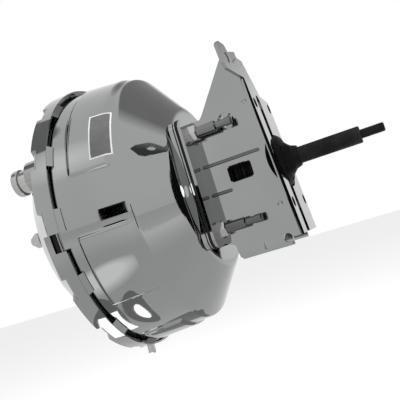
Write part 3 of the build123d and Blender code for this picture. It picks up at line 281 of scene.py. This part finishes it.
def matt(name, tone, roughness, gloss=0.5, shade=0.7, unevenness=0.08):
    """Moulded rubber, resin, felt or paper with a fine grain."""
    material, tree, shader = new_material(name)
    shader.inputs["Specular IOR Level"].default_value = gloss
    dark = tuple(part * shade for part in tone)
    mottle = ramp(tree, noise(tree, scale=30.0, detail=3.0), low=0.0, high=1.0)
    tree.links.new(tint(tree, mottle, dark, tone), shader.inputs["Base Color"])
    blur = ramp(tree, noise(tree, scale=200.0), roughness - unevenness, roughness + unevenness)
    tree.links.new(blur, shader.inputs["Roughness"])
    grain = bump(tree, noise(tree, scale=1800.0, detail=3.0), depth=0.00004)
    tree.links.new(grain, shader.inputs["Normal"])
    return material


def steel(name, dark, light, roughness, metallic=1.0, gloss=0.5):
    """Turned or oiled metal with fine lines and uneven tone."""
    material, tree, shader = new_material(name)
    shader.inputs["Metallic"].default_value = metallic
    shader.inputs["Specular IOR Level"].default_value = gloss
    mottle = ramp(tree, noise(tree, scale=90.0, detail=4.0), low=0.0, high=1.0)
    tree.links.new(tint(tree, mottle, dark, light), shader.inputs["Base Color"])
    lines = noise(tree, scale=500.0, detail=3.0, roughness=0.6, stretch=(4.0, 0.3, 0.3))
    blur = ramp(tree, lines, low=roughness - 0.07, high=roughness + 0.1)
    tree.links.new(blur, shader.inputs["Roughness"])
    tree.links.new(bump(tree, lines, depth=0.00003), shader.inputs["Normal"])
    return material


def grey(tone):
    """Neutral colour of one tone."""
    return (tone, tone, tone)


chrome_plate = chrome(
    "chrome_plate", (0.285, 0.288, 0.29), (0.325, 0.328, 0.33), haze=(0.02, 0.05), wave=0.0003
)
zinc_plate = chrome("zinc_plate", grey(0.34), (0.5, 0.5, 0.49), haze=(0.10, 0.2))
# Dark metal: dark zinc on the rear studs, and painted shade on the ribs pressed in the chromed side
# plate.
dark_zinc_and_painted_shade = chrome("dark_zinc_and_painted_shade", grey(0.09), grey(0.2), haze=(0.15, 0.28))
label_white = matt("label_white", grey(0.8), roughness=0.4)
label_grey = matt("label_grey", grey(0.12), roughness=0.4)
black_steel = steel(
    "black_steel", grey(0.006), grey(0.014), roughness=0.55, metallic=0.0, gloss=0.2
)

FINISH = {
    "chrome": chrome_plate,
    "plated_steel": zinc_plate,
    "plain_steel": steel("plain_steel", grey(0.22), grey(0.34), roughness=0.38),
    "black_steel": black_steel,
    "black_rubber": matt("black_rubber", grey(0.009), roughness=0.5, gloss=0.15),
    "gasket_paper": matt("gasket_paper", grey(0.03), roughness=0.75),
    "moulded_resin": matt("moulded_resin", (0.07, 0.045, 0.03), roughness=0.5),
    "turned_aluminium": steel("turned_aluminium", grey(0.5), grey(0.66), roughness=0.3),
    "filter_felt": matt("filter_felt", (0.12, 0.11, 0.1), roughness=0.9),
}


def paint(piece, material):
    """Gives a piece one material."""
    piece.data.materials.clear()
    piece.data.materials.append(material)


for part in frame["record"]["subparts"]:
    paint(nodes[part["node"]], FINISH[part["material_slot"]])
paint(nodes["rear_studs"], dark_zinc_and_painted_shade)


# Skins and small details


def grid_piece(name, rows, columns, place, closed):
    """Smooth mesh over rows and columns of points, joined round in columns where closed."""
    built = bmesh.new()
    grid = [[built.verts.new(place(row, column)) for column in columns] for row in rows]
    last = len(columns) if closed else len(columns) - 1
    for near, far in zip(grid, grid[1:]):
        for index in range(last):
            following = (index + 1) % len(columns)
            built.faces.new((near[index], near[following], far[following], far[index]))
    bmesh.ops.recalc_face_normals(built, faces=built.faces)
    mesh = bpy.data.meshes.new(name)
    built.to_mesh(mesh)
    built.free()
    for face in mesh.polygons:
        face.use_smooth = True
    made = bpy.data.objects.new(name, mesh)
    bpy.context.scene.collection.objects.link(made)
    return made


def on_axis(x, radius, angle):
    """Point in metres at x and radius in millimetres, and an angle from +Y over +Z in degrees."""
    turn = math.radians(angle)
    return Vector((x, radius * math.cos(turn), radius * math.sin(turn))) * MM


def spread(start, end, step):
    """Even values from start up to end, which is left out, no further apart than step."""
    count = max(1, math.ceil(abs(end - start) / step))
    return [start + (end - start) * number / count for number in range(count)]


def line_points(first, last, step):
    """Points between the ends of a straight line, no further apart than step."""
    return [tuple(first.lerp(last, part)) for part in spread(0.0, 1.0, step / (last - first).length)][1:]


def rounded_section(corners, step):
    """Points along a section with its corners rounded by arcs."""
    points = [corners[0][:2]]
    for before, corner, after in zip(corners, corners[1:], corners[2:]):
        here = Vector(corner[:2])
        back = (Vector(before[:2]) - here).normalized()
        ahead = (Vector(after[:2]) - here).normalized()
        half = back.angle(ahead) / 2
        radius = corner[2]
        reach = radius / math.tan(half)
        middle = here + (back + ahead).normalized() * (radius / math.sin(half))
        start = here + back * reach
        points += line_points(Vector(points[-1]), start, step)
        first = start - middle
        sweep = first.angle_signed(here + ahead * reach - middle)
        arc_steps = max(LEAST_ARC_STEPS, math.ceil(abs(sweep) * radius / step))
        for number in range(arc_steps + 1):
            turn = Matrix.Rotation(-sweep * number / arc_steps, 2)
            points.append(tuple(middle + turn @ first))
    end = Vector(corners[-1][:2])
    points += line_points(Vector(points[-1]), end, step)
    points.append(tuple(end))
    return points


def ease(value):
    """Smooth step from 0 to 1."""
    held = min(max(value, 0.0), 1.0)
    return held * held * (3 - 2 * held)


def pad_lift(x, angle):
    """Height of the pads over the plain wall."""
    lift = 0.0
    for pad in PADS:
        away = (angle - (pad.low + pad.high) / 2 + 180) % 360 - 180
        inside = ((pad.high - pad.low) / 2 - abs(away)) * math.radians(1) * WALL_RADIUS
        along = min(ease((x - pad.start) / pad.front), ease((pad.end - x) / pad.rear))
        lift = max(lift, PAD_HEIGHT * along * ease(inside / pad.side))
    return lift


def shell_angles():
    """Angles round the shell, closer together on the side slopes of the pads."""
    angles = set(spread(0, 360, SHELL_COLUMNS))
    for pad in PADS:
        width = math.degrees(pad.side / WALL_RADIUS)
        for edge, inward in ((pad.low, width), (pad.high, -width)):
            for angle in spread(edge, edge + inward, PAD_SIDE_COLUMNS) + [edge + inward]:
                angles.add(round(angle % 360, 4))
    return sorted(angles)


def shell_point(row, angle):
    """Point of the rear shell at a point of its section and an angle."""
    x, radius = row
    if WALL_START < x < WALL_END and radius > SEAT_CORNER[1]:
        radius += pad_lift(x, angle)
    return on_axis(x, radius, angle)


def build_rear_shell():
    """Smooth chromed rear shell with its embossed pads."""
    rows = rounded_section(SHELL_SECTION, SHELL_ROWS)
    shell = grid_piece("rear_shell_skin", rows, shell_angles(), shell_point, True)
    wall = shell.modifiers.new("sheet", "SOLIDIFY")
    wall.thickness = SHEET * MM
    wall.offset = -1.0
    paint(shell, chrome_plate)
    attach(shell, "housing")
    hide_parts("rear_shell")


def thread_wave(x, angle):
    """Depth of the thread's groove, from 0 at the crest to 1 at the root."""
    turn = (x / THREAD_PITCH - angle / 360) % 1.0
    return 1.0 - abs(2 * turn - 1)


def sleeve_point(row, angle):
    """Point of the rod sleeve at a row of x, radius and whether it is threaded, and an angle."""
    x, radius, threaded = row
    cut = THREAD_DEPTH * thread_wave(x, angle) if threaded else 0.0
    return on_axis(x, radius - cut, angle)


def build_rod_sleeve():
    """Black sleeve with bevelled ends and a cut thread on its end."""
    start, end = SLEEVE
    bevelled = SLEEVE_RADIUS - SLEEVE_BEVEL
    root = THREAD_RADIUS - THREAD_DEPTH
    thread_end = ROD_END - THREAD_BEVEL_LENGTH
    plain = spread(start + SLEEVE_FIRST_ROW, end - SLEEVE_BEVEL, SLEEVE_ROWS)
    threaded = spread(end + THREAD_RUN_OUT, thread_end, THREAD_PITCH / THREAD_ROWS_PER_TURN)
    rows = [(start, CENTRE_RADIUS, 0), (start, bevelled, 0), (start + SLEEVE_BEVEL, SLEEVE_RADIUS, 0)]
    rows += [(x, SLEEVE_RADIUS, 0) for x in plain]
    rows += [(end - SLEEVE_BEVEL, SLEEVE_RADIUS, 0), (end, bevelled, 0), (end, root, 0)]
    rows += [(x, THREAD_RADIUS, 1) for x in threaded]
    rows += [(thread_end, root, 0), (ROD_END, THREAD_RADIUS - THREAD_BEVEL_DEPTH, 0)]
    rows += [(ROD_END, CENTRE_RADIUS, 0)]
    sleeve = grid_piece("rod_sleeve_skin", rows, spread(0, 360, SLEEVE_COLUMNS), sleeve_point, True)
    paint(sleeve, black_steel)
    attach(sleeve, "rod")
    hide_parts("rod_sleeve")


def label_patch(name, margin, rise, material):
    """Patch that follows the upper pad, a margin inside the label's edge and a rise above the pad."""
    start, end, low, high = LABEL
    margin_angle = math.degrees(margin / WALL_RADIUS)

    def place(x, angle):
        taper = (WALL_END - x) * WALL_TAPER
        return on_axis(x, WALL_RADIUS + taper + pad_lift(x, angle) + rise, angle)

    rows = spread(start + margin, end - margin, LABEL_ROWS) + [end - margin]
    columns = spread(low + margin_angle, high - margin_angle, LABEL_COLUMNS) + [high - margin_angle]
    patch = grid_piece(name, rows, columns, place, False)
    paint(patch, material)
    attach(patch, "housing")


def build_label():
    """Blank grey label with a plain white border, lying on the upper pad."""
    label_patch("label_sheet", 0.0, LABEL_SHEET_RISE, label_white)
    label_patch("label_field", LABEL_BORDER, LABEL_FIELD_RISE, label_grey)


def build_rib(name, start, end, height):
    """Rib with rounded ends on the near side plate."""

    def place(x, angle):
        turn = math.radians(angle)
        from_end = min(x - start, end - x, RIB_HALF_WIDTH) / RIB_HALF_WIDTH
        full = math.sqrt(1.0 - (1.0 - from_end) ** 2)
        across = RIB_HALF_WIDTH * full * math.cos(turn)
        return Vector((x, RIB_BASE - RIB_HEIGHT * full * math.sin(turn), height + across)) * MM

    rows = spread(start, end, RIB_ROWS) + [end]
    rib = grid_piece(name, rows, spread(0, 180, RIB_COLUMNS) + [180], place, False)
    # Painted shade: the rib is part of the chromed plate but is given the dark metal, so it shows as
    # dark lines.
    paint(rib, dark_zinc_and_painted_shade)
    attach(rib, "housing")


def nut_point(row, angle):
    """Point of a nut at a row of x, radius and whether it is hexagonal, and an angle."""
    x, radius, hexagonal = row
    if hexagonal:
        half_side = NUT_SIDE_ANGLE / 2
        radius /= math.cos(math.radians((angle + half_side) % NUT_SIDE_ANGLE - half_side))
    return on_axis(x, radius, angle)


def build_master_nut(name, side):
    """Flange nut run a few turns onto the master cylinder stud on one side."""
    end, chamfered, neck, flange, seat = NUT_PLACES
    rows = (
        (end, NUT_BORE, 0),
        (end, NUT_HALF_FLATS, 0),
        (chamfered, NUT_HALF_FLATS, 1),
        (neck, NUT_HALF_FLATS, 1),
        (neck, NUT_FLANGE_RADIUS - NUT_FLANGE_EDGE, 0),
        (flange, NUT_FLANGE_RADIUS, 0),
        (seat, NUT_FLANGE_RADIUS, 0),
        (seat, NUT_BORE, 0),
        (end, NUT_BORE, 0),
    )
    nut = grid_piece(name, rows, spread(0, 360, NUT_COLUMNS), nut_point, True)
    for face in nut.data.polygons:
        face.use_smooth = False
    nut.location = (0, side * STUD_SPACING / 2 * MM, 0)
    paint(nut, zinc_plate)
    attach(nut, "housing")


# Soft pieces


def copied(node, name):
    """Loose copy of a node's mesh in place, standing for the node."""
    made = bpy.data.objects.new(name, nodes[node].data.copy())
    made.data.transform(nodes[node].matrix_world)
    bpy.context.scene.collection.objects.link(made)
    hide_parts(node)
    return made


def keep_range(piece, start, end):
    """Cuts away what lies outside a range along X."""
    built = bmesh.new()
    built.from_mesh(piece.data)
    for x, outward in ((start, -1), (end, 1)):
        every = built.verts[:] + built.edges[:] + built.faces[:]
        bmesh.ops.bisect_plane(
            built, geom=every, plane_co=(x * MM, 0, 0), plane_no=(outward, 0, 0), clear_outer=True
        )
    built.to_mesh(piece.data)
    built.free()


def build_blended():
    """Loose copies of the springs and the diaphragm, with the rod spring cut in two along X."""
    for name, node, slot, near, far, start, end in BLENDED:
        piece = copied(node, name)
        if name in ROD_SPRING_RANGES:
            keep_range(piece, *ROD_SPRING_RANGES[name])
        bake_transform(piece)


def build_boot():
    """Dust boot cut in three along X: the collar and the bellows on the housing, and the tail loose."""
    parts = {}
    for name, (start, end) in BOOT_RANGES.items():
        parts[name] = copied("dust_boot", name)
        keep_range(parts[name], start, end)
    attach(parts["boot_collar"], "housing")
    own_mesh(parts["boot_bellows"])
    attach(parts["boot_bellows"], "housing")
    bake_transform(parts["boot_tail"])


# Studio


def facing(place, target, axis):
    """Turn that points an axis of a thing at a place towards a target."""
    return (Vector(target) - Vector(place)).to_track_quat(axis, "Y").to_euler()


def seen_white(tree, lit, seen, output):
    """Shows one shader to the camera, in reflections and through glass, and lights with the other."""
    path = tree.nodes.new("ShaderNodeLightPath")
    shown = path.outputs["Is Camera Ray"]
    for ray in ("Is Glossy Ray", "Is Transmission Ray"):
        either = tree.nodes.new("ShaderNodeMath")
        either.operation = "MAXIMUM"
        tree.links.new(shown, either.inputs[0])
        tree.links.new(path.outputs[ray], either.inputs[1])
        shown = either.outputs[0]
    mix = tree.nodes.new("ShaderNodeMixShader")
    tree.links.new(shown, mix.inputs[0])
    tree.links.new(lit, mix.inputs[1])
    tree.links.new(seen, mix.inputs[2])
    tree.links.new(mix.outputs[0], output.inputs["Surface"])


def background(tree, strength):
    """White background of a given strength."""
    shader = tree.nodes.new("ShaderNodeBackground")
    shader.inputs["Color"].default_value = WHITE
    shader.inputs["Strength"].default_value = strength
    return shader.outputs[0]


def build_world():
    """World that lights evenly and looks white."""
    world = bpy.data.worlds.new("studio")
    bpy.context.scene.world = world
    world.use_nodes = True
    tree = world.node_tree
    tree.nodes.clear()
    output = tree.nodes.new("ShaderNodeOutputWorld")
    seen_white(tree, background(tree, WORLD_LIGHT), background(tree, WORLD_SEEN), output)


def build_floor():
    """Pale floor that keeps the object's shadow."""
    bpy.ops.mesh.primitive_plane_add(size=FLOOR_SIZE, location=FLOOR_PLACE)
    floor = bpy.context.object
    floor.name = "floor"
    material, tree, shader = new_material("floor_paint")
    shader.inputs["Base Color"].default_value = FLOOR_TONE
    shader.inputs["Roughness"].default_value = FLOOR_ROUGHNESS
    glow = tree.nodes.new("ShaderNodeEmission")
    glow.inputs["Strength"].default_value = FLOOR_GLOW
    lifted = tree.nodes.new("ShaderNodeAddShader")
    tree.links.new(shader.outputs[0], lifted.inputs[0])
    tree.links.new(glow.outputs[0], lifted.inputs[1])
    seen_white(tree, shader.outputs[0], lifted.outputs[0], tree.nodes["Material Output"])
    paint(floor, material)


def card_material(name, brightness, fade):
    """Plain glow, fading to clear over a share of the radius."""
    material = bpy.data.materials.new(name)
    material.use_nodes = True
    tree = material.node_tree
    tree.nodes.clear()
    glow = tree.nodes.new("ShaderNodeEmission")
    glow.inputs["Strength"].default_value = brightness
    clear = tree.nodes.new("ShaderNodeBsdfTransparent")
    mix = tree.nodes.new("ShaderNodeMixShader")
    mix.inputs[0].default_value = 0.0
    if fade:
        place = tree.nodes.new("ShaderNodeTexCoord")
        reach = tree.nodes.new("ShaderNodeVectorMath")
        reach.operation = "LENGTH"
        tree.links.new(place.outputs["Object"], reach.inputs[0])
        tree.links.new(ramp(tree, reach.outputs["Value"], 0.0, 1.0, 1.0 - fade, 1.0), mix.inputs[0])
    tree.links.new(glow.outputs[0], mix.inputs[1])
    tree.links.new(clear.outputs[0], mix.inputs[2])
    output = tree.nodes.new("ShaderNodeOutputMaterial")
    tree.links.new(mix.outputs[0], output.inputs["Surface"])
    return material


def build_card(name, place, target, width, height, brightness, fade, corners):
    """Card that shows only in reflections and faces a point."""
    bpy.ops.mesh.primitive_circle_add(vertices=corners, radius=1.0, fill_type="NGON", location=place)
    card = bpy.context.object
    card.name = name
    if corners == 4:
        card.data.transform(Matrix.Rotation(math.radians(45), 4, "Z") @ Matrix.Scale(math.sqrt(2), 4))
    card.rotation_euler = facing(place, target, "Z")
    card.scale = (width / 2, height / 2, 1.0)
    paint(card, card_material(name, brightness, fade))
    card.visible_camera = False
    card.visible_diffuse = False
    card.visible_shadow = False


def build_lamp(name, place, target, width, height, power):
    """Rectangular soft lamp aimed at a point, not seen in reflections."""
    lamp = bpy.data.lights.new(name, "AREA")
    lamp.shape = "RECTANGLE"
    lamp.size = width
    lamp.size_y = height
    lamp.energy = power
    holder = bpy.data.objects.new(name, lamp)
    bpy.context.scene.collection.objects.link(holder)
    holder.location = place
    holder.rotation_euler = facing(place, target, "-Z")
    holder.visible_glossy = False


def build_camera():
    """Camera at the photograph's viewing angle."""
    camera = bpy.data.cameras.new("camera")
    camera.sensor_fit = "HORIZONTAL"
    camera.sensor_width = SENSOR_WIDTH
    camera.lens = SENSOR_WIDTH * FOCAL_PIXELS / IMAGE_PIXELS
    camera.clip_start = CLIP_START
    holder = bpy.data.objects.new("camera", camera)
    bpy.context.scene.collection.objects.link(holder)
    back = CAMERA_RIGHT.cross(CAMERA_UP).normalized()
    side = CAMERA_UP.cross(back).normalized()
    up = back.cross(side)
    turn = Matrix((side, up, back)).transposed().to_4x4()
    holder.matrix_world = Matrix.Translation(CAMERA_PLACE) @ turn
    bpy.context.scene.camera = holder


# The whole scene

build_rear_shell()
build_rod_sleeve()
build_label()
for number, rib_row in enumerate(RIBS, 1):
    build_rib(f"side_rib_{number}", *rib_row)
build_master_nut("master_nut_near", -1)
build_master_nut("master_nut_far", 1)
build_blended()
build_boot()
build_world()
build_floor()
for lamp_row in LAMPS:
    build_lamp(*lamp_row)
for card_row in CARDS:
    build_card(*card_row)
build_camera()
bpy.context.scene.view_settings.view_transform = "Standard"
